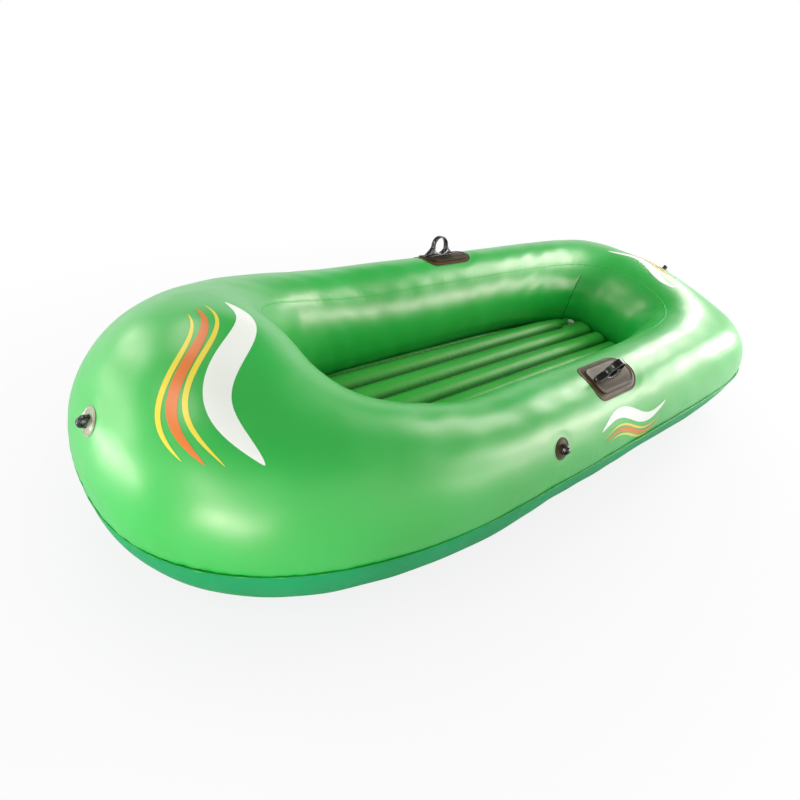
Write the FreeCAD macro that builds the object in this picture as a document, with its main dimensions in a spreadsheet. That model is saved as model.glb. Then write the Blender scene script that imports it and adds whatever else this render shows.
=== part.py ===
"""Small inflatable boat with an air floor, as a parametric FreeCAD document.

The frame has +X to the bow, +Y to port and +Z up. The origin is on the ground at mid-length,
on the centreline. All sizes are millimetres and angles are degrees.
"""
import FreeCAD, Part
import Sketcher
import math
import os
from FreeCAD import Placement, Rotation, Vector

doc = FreeCAD.newDocument("inflatable_boat")

DIMENSIONS = (
    # the air chamber, in plan
    ("overall_length", 1900, "hull from bow to stern, without the weld flange"),
    ("beam", 750, "hull across its widest station"),
    ("widest_station", 236, "x of the widest station"),
    ("bow_power", 2.4, "superellipse power of the bow's outline"),
    ("stern_power", 8.5, "superellipse power of the stern's outline"),
    ("cockpit_width", 300, "between the tube's inner faces"),
    ("cockpit_bow_reach", 325, "cockpit, from the widest station to its bow end"),
    ("cockpit_stern_reach", 850, "cockpit, from the widest station to its stern end"),
    ("cockpit_bow_power", 2.9, "superellipse power of the cockpit's bow end"),
    ("cockpit_stern_power", 4.2, "superellipse power of the cockpit's stern end"),
    # the air chamber, in height
    ("side_height", 300, "tube at the sides"),
    ("bow_height", 422, "tube at the bow"),
    ("stern_height", 336, "tube at the stern"),
    # welds between the hull's panels
    ("film", 1.0, "thickness of a welded strip or patch"),
    ("seam_height", 151, "z of the weld between the top and bottom panels"),
    ("seam_flange", 7, "how far that weld stands out of the hull"),
    ("rim_weld_elevation", 127, "section angle of the cockpit's rim weld"),
    ("rim_weld_width", 8, "width of the rim weld"),
    ("corner_weld_angle", 141, "plan angle of the inner wall's corner welds"),
    ("corner_weld_width", 7, "width of a corner weld"),
    ("corner_weld_low", 195, "section angle of a corner weld's lower end"),
    ("corner_weld_high", 133, "section angle of a corner weld's upper end"),
    ("weld_gap", 0.2, "how far a welded strip or patch lies off the tube's skin"),
    # the floor
    ("clearance", 0.3, "gap between soft pieces that lie on each other"),
    ("floor_crest", 110, "z of the top of the floor's ribs"),
    ("rib_pitch", 56, "from rib to rib"),
    ("rib_depth", 17, "from the crest of a rib to the valley"),
    ("rib_count", 7, "ribs across the floor"),
    ("floor_tuck", 45, "how far the floor reaches under the tube, in plan"),
    ("valve_panel_reach", 51, "from the floor's valve forward to the edge of its flat panel"),
    ("valve_panel_drop", 1, "from the ribs' crests down to that panel"),
    ("web_length", 900, "length of the webs in the floor"),
    ("web_setback", 15, "from that panel's edge forward to the webs' aft ends"),
    ("web_thickness", 1.2, "a web's thickness"),
    ("web_drop", 6, "from the floor's valleys down to the webs"),
    # oarlocks
    ("oarlock_station", -75, "x of the middle of both oarlocks' patches"),
    ("oarlock_lead", 18, "oarlock's strap forward of the middle of its patch"),
    ("oarlock_elevation", 78, "section angle of both oarlocks"),
    ("oarlock_patch_length", 180, "welded patch, fore and aft"),
    ("oarlock_patch_width", 92, "welded patch, across"),
    ("oarlock_plinth_inset", 13, "from the patch's edge to the plinth's edge"),
    ("oarlock_plinth_rise", 4, "plinth above the hull"),
    ("oarlock_bore", 22, "radius of the hole for the oar"),
    ("oarlock_wall", 5, "strap's thickness around that hole"),
    ("oarlock_axis_height", 31, "hole's axis above the hull"),
    ("oarlock_strap_width", 15, "strap, along the hole's axis"),
    ("oarlock_foot", 56, "half the length of the strap's foot"),
    ("oarlock_flare", 22, "radius between the strap and its foot"),
    ("oarlock_foot_rise", 3, "top of the strap's foot above the plinth"),
    ("oarlock_root", 4, "strap below the hull's skin, before it is cut to the plinth"),
    # rope eyes
    ("bow_eye_elevation", 18, "section angle of the bow's rope eye"),
    ("side_eye_elevation", 34, "section angle of the side rope eyes"),
    ("stern_eye_elevation", 62, "section angle of the stern's rope eye"),
    ("side_eye_station", 173, "x of the side rope eyes"),
    ("eye_patch_radius", 25, "welded patch under a rope eye"),
    ("eye_bore", 4.5, "radius of the hole for the rope"),
    ("eye_radius", 11, "outer radius of a rope eye"),
    ("eye_axis_height", 9, "hole's axis above the hull"),
    ("eye_width", 10, "rope eye, along its hole"),
    ("eye_rounding", 2.5, "rounding of a rope eye's outer edges"),
    # air valves
    ("floor_valve_inset", 58, "from the cockpit's stern end forward to the floor's valve"),
    ("floor_valve_ribs", 1.5, "from the centreline to starboard to the floor's valve, in ribs"),
    ("hull_valve_inset", 184, "from the cockpit's stern end forward to the valve on the port wall"),
    ("valve_flange", 20, "radius of the valve's welded flange"),
    ("valve_bore", 5, "radius of the hole for the stopper's plug"),
    ("valve_stem", 8, "outer radius of the stem"),
    ("valve_stand", 5, "stem above the wall"),
    ("valve_depth", 18, "stem below the wall"),
    ("well_room", 2, "clear space round the stem's inner end"),
    ("flap_room", 16, "clear space beyond the stem's inner end"),
    ("plug_clearance", 0.3, "gap between the stopper's plug and the bore"),
    ("plug_taper", 0.6, "from the plug's radius to that of its tip"),
    ("stopper_length", 5, "plug's length"),
    ("cap_lap", 0.5, "cap's edge beyond the stem"),
    ("stopper_cap_thickness", 1.8, "cap's thickness"),
    ("tether_reach", 6, "from the stem to the tether's bend"),
    ("tether_width", 5, "width of the tether"),
    ("tether_ring", 2.2, "width of the ring round the stem"),
    ("tether_thickness", 1.6, "thickness of that ring and of its tab"),
    ("flap_lap", 2, "check flap's edge beyond the bore"),
    ("flap_thickness", 0.8, "thickness of the check flap"),
)

sheet = doc.addObject("Spreadsheet::Sheet", "Dims")
for row, (alias, value, note) in enumerate(DIMENSIONS, 1):
    sheet.set(f"A{row}", alias)
    sheet.set(f"B{row}", str(value))
    sheet.setAlias(f"B{row}", alias)
    sheet.set(f"C{row}", note)
doc.recompute()


def dim(alias):
    """The value of a driving dimension."""
    return float(getattr(sheet, alias))


# ---------------------------------------------------------------- the hull's form

FORWARD = Vector(1, 0, 0)
OUTWARD = Vector(0, 1, 0)
UP = Vector(0, 0, 1)
BOW, STERN = 0, 180                     # plan angles in degrees
INNER_WALL = 180                        # section angle where the tube stands furthest in

STATIONS = 84                           # cross-sections round the hull
FIRST_STATION = math.radians(210)       # the loft closes here, clear of every fitting
SKIN_SPANS = 8                          # spans of a plain copy of the skin under a fitting
SKIN_DEPTH = 40                         # how far that copy is carried inwards


def outline_point(angle, bow_reach, stern_reach, half_width, bow_power, stern_power):
    """A point of a plan outline: a superellipse with its own reach and power at each end."""
    along, across = math.cos(angle), math.sin(angle)
    reach, power = (bow_reach, bow_power) if along > 0 else (stern_reach, stern_power)
    size = (abs(along) ** power + abs(across) ** power) ** (-1 / power)
    return Vector(dim("widest_station") + reach * along * size, half_width * across * size, 0)


def outer_point(angle):
    """The hull's outer outline in plan."""
    half = dim("overall_length") / 2
    return outline_point(angle, half - dim("widest_station"), half + dim("widest_station"),
                         dim("beam") / 2, dim("bow_power"), dim("stern_power"))


def inner_point(angle, grow=0.0):
    """The cockpit's outline in plan, where the tube's inner face stands furthest in."""
    return outline_point(angle, dim("cockpit_bow_reach") + grow, dim("cockpit_stern_reach") + grow,
                         dim("cockpit_width") / 2 + grow,
                         dim("cockpit_bow_power"), dim("cockpit_stern_power"))


def section(angle):
    """The tube's elliptical section: centre, outward direction, half width and half height."""
    outer, inner = outer_point(angle), inner_point(angle)
    to_bow, to_stern = max(math.cos(angle), 0), max(-math.cos(angle), 0)
    height = (dim("side_height")
              + (dim("bow_height") - dim("side_height")) * to_bow ** 2
              + (dim("stern_height") - dim("side_height")) * to_stern ** 4)
    outward = outer - inner
    half_width = outward.Length / 2
    centre = (outer + inner) * 0.5 + Vector(0, 0, height / 2)
    return centre, outward.normalize(), half_width, height / 2


def section_point(angle, elevation):
    """A point of the hull's skin at a plan angle and a section angle, both in degrees."""
    centre, outward, half_width, half_height = section(math.radians(angle))
    tilt = math.radians(elevation)
    return (centre + outward * (half_width * math.cos(tilt))
            + Vector(0, 0, half_height * math.sin(tilt)))


def section_wire(angle, grow):
    """The section's ellipse as a wire, swollen by grow."""
    centre, outward, half_width, half_height = section(angle)
    sideways = outward.cross(Vector(0, 0, 1))
    wide = outward * (half_width + grow)
    matrix = FreeCAD.Matrix(wide.x, 0, sideways.x, centre.x,
                            wide.y, 0, sideways.y, centre.y,
                            0, half_height + grow, 0, centre.z,
                            0, 0, 0, 1)
    return Part.Wire(Part.Circle().toShape().transformGeometry(matrix).Edges)


swollen_hulls = {}


def hull_solid(grow=0.0):
    """The air chamber: one closed loft through the sections, swollen by grow."""
    if grow not in swollen_hulls:
        angles = [FIRST_STATION + 2 * math.pi * number / STATIONS for number in range(STATIONS)]
        wires = [section_wire(angle, grow) for angle in angles]
        swollen_hulls[grow] = Part.makeLoft(wires, True, False, True)
    return swollen_hulls[grow]


def skin_spot(x, elevation, side):
    """The spot (plan angle, section angle) of the skin at one x, on one side of the boat."""
    low, high = 0.0, 180.0
    for _ in range(40):
        middle = (low + high) / 2
        low, high = (middle, high) if section_point(middle, elevation).x > x else (low, middle)
    return side * low, elevation


def skin_steps(spot):
    """How the skin runs at a spot: millimetres per degree of plan angle and of elevation."""
    angle, elevation = spot
    return (section_point(angle + 0.5, elevation) - section_point(angle - 0.5, elevation),
            section_point(angle, elevation + 0.5) - section_point(angle, elevation - 0.5))


def skin_frame(spot, forward):
    """A placement on the hull's skin: +Z along the outward normal, +X near to forward."""
    along, around = skin_steps(spot)
    normal = along.cross(around).normalize()
    across = normal.cross(forward).normalize()
    return Placement(section_point(*spot), Rotation(across.cross(normal), across, normal, "ZXY"))


def swollen_point(spot, grow):
    """A point of the skin at a spot, moved outwards by grow."""
    return section_point(*spot) + skin_frame(spot, FORWARD).Rotation.multVec(UP * grow)


def local_hull(spot, reach, grow=0.0):
    """The part of the swollen hull round a spot: a plain skin, carried inwards."""
    shares = [number / SKIN_SPANS * 2 - 1 for number in range(SKIN_SPANS + 1)]
    angle_reach, elevation_reach = (reach / step.Length for step in skin_steps(spot))
    grid = []
    for share in shares:
        angle = spot[0] + share * angle_reach
        grid.append([swollen_point((angle, spot[1] + other * elevation_reach), grow)
                     for other in shares])
    skin = Part.BSplineSurface()
    skin.interpolate(grid)
    return skin.toShape().extrude(skin_frame(spot, FORWARD).Rotation.multVec(UP * -SKIN_DEPTH))


# ---------------------------------------------------------------- document helpers

PARTS = []


def keep(item, label):
    """Registers a document object as one sub-part of the boat."""
    item.Label = label
    PARTS.append(item)
    return item


def feature(label, shape, placement=None):
    """A sub-part whose shape comes from Part's own functions."""
    item = doc.addObject("Part::Feature", label)
    item.Shape = shape
    if placement:
        item.Placement = placement
    return keep(item, label)


def hidden(label, shape):
    """A helper shape that other objects refer to."""
    item = doc.addObject("Part::Feature", label)
    item.Shape = shape
    return item


def new_body(label, placement):
    body = doc.addObject("PartDesign::Body", label)
    body.Placement = placement
    return body


def new_sketch(body, role, name):
    """A sketch on one of the body's own origin planes."""
    sketch = body.newObject("Sketcher::SketchObject", name)
    plane = next(item for item in body.Origin.OriginFeatures if item.Role == role)
    sketch.AttachmentSupport = (plane, [""])
    sketch.MapMode = "FlatFace"
    return sketch


def pin_vertex(sketch, edge, x, y):
    """Places the start of an edge by two expressions."""
    for kind, text in (("DistanceX", x), ("DistanceY", y)):
        value = float(sheet.evalExpression(text))
        index = sketch.addConstraint(Sketcher.Constraint(kind, -1, 1, edge, 1, value))
        sketch.setExpression(f"Constraints[{index}]", text)


def add_polygon(sketch, corners):
    """A closed polygon whose corners are pairs of expressions."""
    spots = [Vector(*(float(sheet.evalExpression(text)) for text in corner), 0)
             for corner in corners]
    first = sketch.GeometryCount
    for start, end in zip(spots, spots[1:] + spots[:1]):
        sketch.addGeometry(Part.LineSegment(start, end))
    for number, (x, y) in enumerate(corners):
        following = (number + 1) % len(corners)
        sketch.addConstraint(
            Sketcher.Constraint("Coincident", first + number, 2, first + following, 1))
        pin_vertex(sketch, first + number, x, y)


def add_circle(sketch, x, y, radius):
    """A circle whose centre and radius are expressions."""
    centre = Vector(float(sheet.evalExpression(x)), float(sheet.evalExpression(y)), 0)
    size = float(sheet.evalExpression(radius))
    edge = sketch.addGeometry(Part.Circle(centre, Vector(0, 0, 1), size))
    for kind, text, value in (("DistanceX", x, centre.x), ("DistanceY", y, centre.y)):
        index = sketch.addConstraint(Sketcher.Constraint(kind, -1, 1, edge, 3, value))
        sketch.setExpression(f"Constraints[{index}]", text)
    index = sketch.addConstraint(Sketcher.Constraint("Radius", edge, size))
    sketch.setExpression(f"Constraints[{index}]", radius)


def pad(body, sketch, length, name, both_ways=False):
    item = body.newObject("PartDesign::Pad", name)
    item.Profile = sketch
    item.setExpression("Length", length)
    if both_ways:
        item.SideType = "Symmetric"
    return item


def revolve(body, sketch, name):
    """A full turn about the sketch's vertical axis."""
    item = body.newObject("PartDesign::Revolution", name)
    item.Profile = sketch
    item.ReferenceAxis = (sketch, ["V_Axis"])
    item.Angle = 360
    return item


def cut(label, base, tool):
    item = doc.addObject("Part::Cut", label)
    item.Base = base
    item.Tool = tool
    return keep(item, label)


# ---------------------------------------------------------------- valves


def valve_parts(name, turned, skin):
    """A valve's stem, tether ring, stopper and check flap.

    turned places the valve: its +Z is the wall's outward normal and its +X is the tether's side.
    skin gives the wall's surface swollen by a thickness, for the flange that follows it.
    """

    # stem: a tube through the wall, with a welded flange that follows the wall
    body = new_body(f"{name}_stem_body", turned)
    sketch = new_sketch(body, "XZ_Plane", f"{name}_stem_profile")
    add_polygon(sketch, (
        ("Dims.valve_bore", "-Dims.valve_depth"),
        ("Dims.valve_stem", "-Dims.valve_depth"),
        ("Dims.valve_stem", "Dims.valve_stand"),
        ("Dims.valve_bore", "Dims.valve_stand"),
    ))
    revolve(body, sketch, f"{name}_stem_turn")
    doc.recompute()
    flange = Part.makeCylinder(dim("valve_flange"), 2 * dim("valve_flange"),
                               Vector(0, 0, -dim("valve_flange")))
    flange = flange.cut(Part.makeCylinder(dim("valve_bore"), 4 * dim("valve_flange"),
                                          Vector(0, 0, -2 * dim("valve_flange"))))
    flange.Placement = turned
    flange = flange.common(skin(dim("film"))).cut(skin(dim("weld_gap")))
    fused = doc.addObject("Part::Fuse", f"{name}_stem")
    fused.Base = body
    fused.Tool = hidden(f"{name}_flange", flange)
    keep(fused, f"{name}_stem")

    # ring of the tether round the stem, with a tab that reaches out to the tether's bend
    ring = new_body(f"{name}_tether_ring", turned)
    sketch = new_sketch(ring, "XZ_Plane", f"{name}_ring_profile")
    bend = "Dims.valve_stem + Dims.tether_reach"
    bottom = "Dims.valve_stand - Dims.clearance - Dims.tether_thickness"
    top = "Dims.valve_stand - Dims.clearance"
    add_polygon(sketch, (
        ("Dims.valve_stem", bottom), ("Dims.valve_stem + Dims.tether_ring", bottom),
        ("Dims.valve_stem + Dims.tether_ring", top), ("Dims.valve_stem", top),
    ))
    revolve(ring, sketch, f"{name}_ring_turn")
    tab = new_sketch(ring, "XZ_Plane", f"{name}_tab_profile")
    add_polygon(tab, (
        ("Dims.valve_stem + Dims.tether_ring / 2", bottom), (bend, bottom),
        (bend, top), ("Dims.valve_stem + Dims.tether_ring / 2", top),
    ))
    pad(ring, tab, "Dims.tether_width", f"{name}_tab_pad", both_ways=True)
    keep(ring, f"{name}_tether_ring")

    # stopper: a short tapered plug under a cap, with its strap to the bend
    stopper = new_body(f"{name}_stopper", turned)
    sketch = new_sketch(stopper, "XZ_Plane", f"{name}_stopper_profile")
    plug, cap = "Dims.valve_bore - Dims.plug_clearance", "Dims.valve_stem + Dims.cap_lap"
    add_polygon(sketch, (
        ("0", "Dims.valve_stand - Dims.stopper_length"),
        ("Dims.valve_bore - Dims.plug_clearance - Dims.plug_taper", "Dims.valve_stand - Dims.stopper_length"),
        (plug, "Dims.valve_stand + Dims.clearance"),
        (cap, "Dims.valve_stand + Dims.clearance"),
        (cap, "Dims.valve_stand + Dims.clearance + Dims.stopper_cap_thickness"),
        ("0", "Dims.valve_stand + Dims.clearance + Dims.stopper_cap_thickness"),
    ))
    revolve(stopper, sketch, f"{name}_stopper_turn")
    strap = new_sketch(stopper, "XZ_Plane", f"{name}_strap_profile")
    bottom = "Dims.valve_stand + Dims.clearance"
    top = "Dims.valve_stand + Dims.clearance + Dims.stopper_cap_thickness"
    add_polygon(strap, (
        (plug, bottom), (bend, bottom),
        (bend, top), (plug, top),
    ))
    pad(stopper, strap, "Dims.tether_width", f"{name}_strap_pad", both_ways=True)
    keep(stopper, f"{name}_stopper")

    # check flap: a disc under the stem's inner end
    flap = new_body(f"{name}_check_flap", turned)
    sketch = new_sketch(flap, "XZ_Plane", f"{name}_flap_profile")
    edge = "Dims.valve_bore + Dims.flap_lap"
    add_polygon(sketch, (
        ("0", "-Dims.valve_depth - Dims.clearance - Dims.flap_thickness"),
        (edge, "-Dims.valve_depth - Dims.clearance - Dims.flap_thickness"),
        (edge, "-Dims.valve_depth - Dims.clearance"),
        ("0", "-Dims.valve_depth - Dims.clearance"),
    ))
    revolve(flap, sketch, f"{name}_flap_turn")
    keep(flap, f"{name}_check_flap")


def valve_well(seat):
    """The clear space that a valve needs behind its wall."""
    stem = Part.makeCylinder(dim("valve_stem") + dim("weld_gap"), 2 * dim("valve_depth"),
                             Vector(0, 0, -dim("valve_depth")))
    room = Part.makeCylinder(dim("valve_stem") + dim("well_room"), dim("flap_room") + 2,
                             Vector(0, 0, -dim("valve_depth") - dim("flap_room")))
    well = stem.fuse(room)
    well.Placement = seat
    return well


# ---------------------------------------------------------------- hull and floor

cockpit_stern = dim("widest_station") - dim("cockpit_stern_reach")
hull_valve_spot = skin_spot(cockpit_stern + dim("hull_valve_inset"), INNER_WALL, 1)
hull_valve_seat = skin_frame(hull_valve_spot, FORWARD)
floor_valve_seat = Placement(Vector(cockpit_stern + dim("floor_valve_inset"),
                                    -dim("floor_valve_ribs") * dim("rib_pitch"),
                                    dim("floor_crest") - dim("valve_panel_drop")), Rotation())
panel_start = floor_valve_seat.Base.x + dim("valve_panel_reach")

feature("hull_chamber", hull_solid().cut(valve_well(hull_valve_seat)))


def weld_strip(spots, across, width, closed):
    """A welded strip on the hull: a loft through thin sections laid across a line of spots."""
    wires = []
    for spot in spots:
        half = width / 2 / skin_steps(spot)[across].Length
        edges = [(spot[0] - half, spot[1]), (spot[0] + half, spot[1])]
        if across:
            edges = [(spot[0], spot[1] - half), (spot[0], spot[1] + half)]
        normal = swollen_point(spot, 1) - section_point(*spot)
        bottom = [section_point(*edge) + normal * dim("weld_gap") for edge in edges]
        top = [section_point(*edge) + normal * dim("film") for edge in reversed(edges)]
        wires.append(Part.makePolygon(bottom + top + bottom[:1]))
    return Part.makeLoft(wires, True, False, closed)


turns = [math.degrees(FIRST_STATION) + 360 * number / STATIONS for number in range(STATIONS)]
feature("rim_weld", weld_strip([(turn, dim("rim_weld_elevation")) for turn in turns], 1,
                               dim("rim_weld_width"), True))

for side, name in ((1, "port"), (-1, "starboard")):
    low, high = dim("corner_weld_low"), dim("corner_weld_high")
    spots = [(side * dim("corner_weld_angle"), low + (high - low) * number / SKIN_SPANS)
             for number in range(SKIN_SPANS + 1)]
    feature(f"inner_wall_weld_{name}", weld_strip(spots, 0, dim("corner_weld_width"), False))


def level_point(angle, z, side, gap):
    """A point off the tube at one height: side 1 is outboard and -1 is in the cockpit."""
    centre, outward, half_width, half_height = section(angle)
    drop = min(1, abs(z - centre.z) / (half_height + gap))
    point = centre + outward * (side * (half_width + gap) * math.sqrt(1 - drop ** 2))
    return Vector(point.x, point.y, z)


def smooth_wire(point_at):
    """A closed smooth wire through points taken all round the hull."""
    curve = Part.BSplineCurve()
    curve.interpolate(Points=[point_at(2 * math.pi * number / STATIONS)
                              for number in range(STATIONS)], PeriodicFlag=True)
    return Part.Wire(curve.toShape())


def flange_point(angle, reach):
    """A point of the outer weld's plane, standing straight out of the hull by reach."""
    return level_point(angle, dim("seam_height"), 1, 0) + section(angle)[1] * reach


rims = [Part.Face(smooth_wire(lambda angle: flange_point(angle, reach)))
        .extrude(UP * dim("film")) for reach in (dim("seam_flange"), dim("film") / 2)]
feature("outer_seam", rims[0].cut(rims[1]))

sheet_edge = smooth_wire(lambda angle: level_point(angle, dim("film") + dim("clearance"), -1, 0))
bottom_sheet = Part.Face(sheet_edge).extrude(Vector(0, 0, -dim("film")))
bottom_sheet.translate(Vector(0, 0, -dim("clearance")))
feature("bottom_sheet", bottom_sheet)


def rib_profile():
    """The floor's cross-section: arcs from valley to valley over a flat base."""
    half = dim("rib_pitch") / 2
    valley = dim("floor_crest") - dim("rib_depth")
    base = dim("film") + dim("clearance")
    left = -dim("rib_pitch") * dim("rib_count") / 2
    edges = []
    for number in range(int(dim("rib_count"))):
        start = left + number * dim("rib_pitch")
        edges.append(Part.Arc(Vector(0, start, valley), Vector(0, start + half,
                                                                dim("floor_crest")),
                              Vector(0, start + 2 * half, valley)).toShape())
    corners = [Vector(0, -left, valley), Vector(0, -left, base), Vector(0, left, base),
               Vector(0, left, valley)]
    edges += [Part.LineSegment(*pair).toShape() for pair in zip(corners, corners[1:])]
    return Part.Face(Part.Wire(Part.__sortEdges__(edges)))


def web_slots(gap):
    """One upright web under each valley, swollen by gap."""
    base = dim("film") + dim("clearance")
    height = dim("floor_crest") - dim("rib_depth") - dim("web_drop") - base
    webs = []
    for number in range(1, int(dim("rib_count"))):
        y = (number - dim("rib_count") / 2) * dim("rib_pitch")
        thickness = dim("web_thickness") + 2 * gap
        webs.append(Part.makeBox(dim("web_length") + 2 * gap, thickness, height + gap,
                                 Vector(panel_start + dim("web_setback") - gap,
                                        y - thickness / 2, base)))
    return webs


length = dim("overall_length")
ribs = rib_profile().extrude(Vector(length, 0, 0))
ribs.translate(Vector(-length / 2, 0, 0))
panel_base = dim("floor_crest") - dim("rib_depth") - dim("web_drop")
panel = Part.makeBox(panel_start + length / 2, dim("rib_pitch"),
                     floor_valve_seat.Base.z - panel_base,
                     Vector(-length / 2, floor_valve_seat.Base.y - dim("rib_pitch") / 2, panel_base))
room = Part.Face(smooth_wire(lambda angle: inner_point(angle, dim("floor_tuck"))))
mattress = ribs.fuse(panel).common(room.extrude(UP * 2 * dim("floor_crest")))
mattress = mattress.cut(hull_solid(dim("clearance")))
mattress = mattress.cut(valve_well(floor_valve_seat))
for slot in web_slots(dim("clearance")):
    mattress = mattress.cut(slot)
feature("floor_mattress", mattress)
feature("floor_webs", Part.makeCompound([web.cut(hull_solid()) for web in web_slots(0)]))


def panel_skin(grow):
    """The flat top of the panel round the floor's valve, raised by grow and clear of the tube."""
    reach = 2 * dim("valve_flange")
    slab = Part.makeBox(2 * reach, 2 * reach, reach + grow, Vector(-reach, -reach, -reach))
    slab.Placement = floor_valve_seat
    return slab.cut(hull_solid(dim("clearance")))


valve_parts("hull_valve", hull_valve_seat,
            lambda grow: local_hull(hull_valve_spot, 2 * dim("valve_flange"), grow))
valve_parts("floor_valve", floor_valve_seat, panel_skin)


# ---------------------------------------------------------------- fittings on the hull

def conformal(outline, spot, forward, low, high):
    """A pad of one outline that lies on the hull, from one swollen skin to another."""
    reach = outline.BoundBox.DiagonalLength * 0.6
    solid = outline.extrude(UP * SKIN_DEPTH)
    solid.Placement = skin_frame(spot, forward) * Placement(UP * (-0.7 * SKIN_DEPTH), Rotation())
    return solid.common(local_hull(spot, reach, high)).cut(local_hull(spot, reach + 4, low))


def shield_outline(half_length, half_width):
    """An oarlock patch: a straight forward edge, long sides and a round aft end."""
    corner = half_width * 0.35
    front = half_length
    shoulder = -half_length + half_width
    bend = corner * (1 - math.sqrt(0.5))
    edges = [Part.LineSegment(Vector(front, corner - half_width, 0),
                              Vector(front, half_width - corner, 0))]
    for side in (1, -1):
        edges.append(Part.Arc(Vector(front, side * (half_width - corner), 0),
                              Vector(front - bend, side * (half_width - bend), 0),
                              Vector(front - corner, side * half_width, 0)))
        edges.append(Part.LineSegment(Vector(front - corner, side * half_width, 0),
                                      Vector(shoulder, side * half_width, 0)))
    edges.append(Part.Arc(Vector(shoulder, half_width, 0), Vector(-half_length, 0, 0),
                          Vector(shoulder, -half_width, 0)))
    return Part.Face(Part.Wire(Part.__sortEdges__([edge.toShape() for edge in edges])))


def oarlock_loop(label, seat, base):
    """The strap that holds the oar: a bored, round-topped lug flared into a long foot."""
    body = new_body(f"{label}_body", seat)
    upright = new_sketch(body, "XZ_Plane", f"{label}_strap_profile")
    outer = "(Dims.oarlock_bore + Dims.oarlock_wall)"
    add_polygon(upright, ((f"-{outer}", "-Dims.oarlock_root"), (outer, "-Dims.oarlock_root"),
                          (outer, "Dims.oarlock_axis_height"),
                          (f"-{outer}", "Dims.oarlock_axis_height")))
    pad(body, upright, "Dims.oarlock_strap_width", f"{label}_strap_pad", both_ways=True)
    crown = new_sketch(body, "XZ_Plane", f"{label}_crown_profile")
    add_circle(crown, "0", "Dims.oarlock_axis_height", "Dims.oarlock_bore + Dims.oarlock_wall")
    pad(body, crown, "Dims.oarlock_strap_width", f"{label}_crown_pad", both_ways=True)
    foot = new_sketch(body, "XZ_Plane", f"{label}_foot_profile")
    rise = "Dims.oarlock_plinth_rise + Dims.oarlock_foot_rise"
    add_polygon(foot, (("-Dims.oarlock_foot", "-Dims.oarlock_root"),
                       ("Dims.oarlock_foot", "-Dims.oarlock_root"),
                       ("Dims.oarlock_foot", rise), ("-Dims.oarlock_foot", rise)))
    pad(body, foot, "Dims.oarlock_strap_width", f"{label}_foot_pad", both_ways=True)
    doc.recompute()
    # the concave edges between the strap's legs and its foot
    low = dim("oarlock_plinth_rise") + dim("oarlock_foot_rise")
    solid = body.Tip
    inner_corners = [f"Edge{number}" for number, edge in enumerate(solid.Shape.Edges, 1)
                     if abs(edge.BoundBox.ZMin - low) < 0.01 and abs(edge.BoundBox.ZMax - low) < 0.01
                     and abs(abs(edge.BoundBox.XMin) - dim("oarlock_bore")
                             - dim("oarlock_wall")) < 0.01
                     and edge.BoundBox.YLength > 1]
    flare = body.newObject("PartDesign::Fillet", f"{label}_flare")
    flare.Base = (solid, inner_corners)
    flare.setExpression("Radius", "Dims.oarlock_flare")
    doc.recompute()
    hole = new_sketch(body, "XZ_Plane", f"{label}_hole_profile")
    add_circle(hole, "0", "Dims.oarlock_axis_height", "Dims.oarlock_bore")
    pocket = body.newObject("PartDesign::Pocket", f"{label}_hole")
    pocket.Profile = hole
    pocket.Type = "ThroughAll"
    pocket.SideType = "Symmetric"
    doc.recompute()
    return cut(label, body, base)


def rope_eye(label, seat, base):
    """A bored lug for the grab rope, with rounded outer edges."""
    body = new_body(f"{label}_body", seat)
    disc = new_sketch(body, "YZ_Plane", f"{label}_profile")
    add_circle(disc, "0", "Dims.eye_axis_height", "Dims.eye_radius")
    pad(body, disc, "Dims.eye_width", f"{label}_pad", both_ways=True)
    doc.recompute()
    solid = body.Tip
    rims = [f"Edge{number}" for number, edge in enumerate(solid.Shape.Edges, 1)
            if isinstance(edge.Curve, Part.Circle)]
    rounding = body.newObject("PartDesign::Fillet", f"{label}_rounding")
    rounding.Base = (solid, rims)
    rounding.setExpression("Radius", "Dims.eye_rounding")
    doc.recompute()
    hole = new_sketch(body, "YZ_Plane", f"{label}_hole_profile")
    add_circle(hole, "0", "Dims.eye_axis_height", "Dims.eye_bore")
    pocket = body.newObject("PartDesign::Pocket", f"{label}_hole")
    pocket.Profile = hole
    pocket.Type = "ThroughAll"
    pocket.SideType = "Symmetric"
    doc.recompute()
    return cut(label, body, base)


for side, name in ((1, "port"), (-1, "starboard")):
    spot = skin_spot(dim("oarlock_station"), dim("oarlock_elevation"), side)
    half_length = dim("oarlock_patch_length") / 2
    half_width = dim("oarlock_patch_width") / 2
    inset = dim("oarlock_plinth_inset")
    feature(f"oarlock_patch_{name}",
            conformal(shield_outline(half_length, half_width), spot, FORWARD,
                      dim("weld_gap"), dim("film")))
    feature(f"oarlock_plinth_{name}",
            conformal(shield_outline(half_length - inset, half_width - inset), spot, FORWARD,
                      dim("film") + dim("weld_gap"), dim("oarlock_plinth_rise")))
    loop_spot = skin_spot(dim("oarlock_station") + dim("oarlock_lead"),
                          dim("oarlock_elevation"), side)
    top = local_hull(loop_spot, 1.5 * dim("oarlock_foot"),
                     dim("oarlock_plinth_rise") + dim("weld_gap"))
    oarlock_loop(f"oarlock_loop_{name}", skin_frame(loop_spot, FORWARD),
                 hidden(f"plinth_top_{name}", top))

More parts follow.
